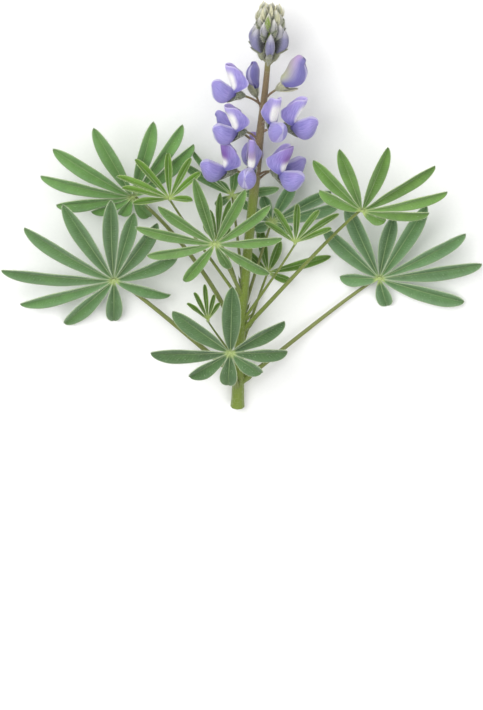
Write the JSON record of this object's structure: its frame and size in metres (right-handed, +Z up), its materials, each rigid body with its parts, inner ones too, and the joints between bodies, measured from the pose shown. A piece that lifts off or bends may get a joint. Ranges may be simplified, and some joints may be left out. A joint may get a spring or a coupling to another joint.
{
  "type": "lupin flower spike",
  "caption": "Leafy flowering stem of a lupin as picked: violet pea flowers in whorls under a head of buds, with palmate leaves on long stalks.",
  "frame": {"origin": "on the surface that the stem lies on, at the middle of the bounding box's foot", "axes": "+Y runs up the stem from the cut end to the tip of the head, +X is across the stem to the right as the picture shows it, +Z is up from the surface, towards the side of the flowers that the picture shows"},
  "size_m": [0.1918, 0.179, 0.0427],
  "materials": {
    "stem": "matt, finely hairy; olive green, turning brown among the flowers",
    "petal": "soft satin; violet blue with a white patch at the banner's middle",
    "bud": "soft satin with silky hair; grey violet",
    "young_bud": "silky grey-green hair with cream tips",
    "leaf": "matt, blue green, paler hairy edge",
    "leaf_young": "matt, yellow green, pale hairy edge"
  },
  "bodies": {
    "root": {"bud_1": "bud", "bud_2": "bud", "bud_3": "bud", "bud_4": "bud", "bud_5": "bud", "bud_6": "bud", "bud_7": "bud", "bud_head": "young_bud", "flower_01": "petal", "flower_02": "petal", "flower_03": "petal", "flower_04": "petal", "flower_05": "petal", "flower_06": "petal", "flower_07": "petal", "flower_08": "petal", "flower_09": "petal", "flower_10": "petal", "flower_11": "petal", "flower_12": "petal", "leaf_back_high": "leaf_young", "leaf_back_low": "leaf", "leaf_back_right": "leaf", "leaf_behind_front": "leaf_young", "leaf_front_high": "leaf_young", "leaf_front_low": "leaf", "leaf_left_bud": "leaf_young", "leaf_left_high": "leaf", "leaf_left_low": "leaf", "leaf_left_young": "leaf_young", "leaf_right_high": "leaf", "leaf_right_low": "leaf", "leaf_right_young": "leaf_young", "stem": "stem"}
  },
  "joints": []
}
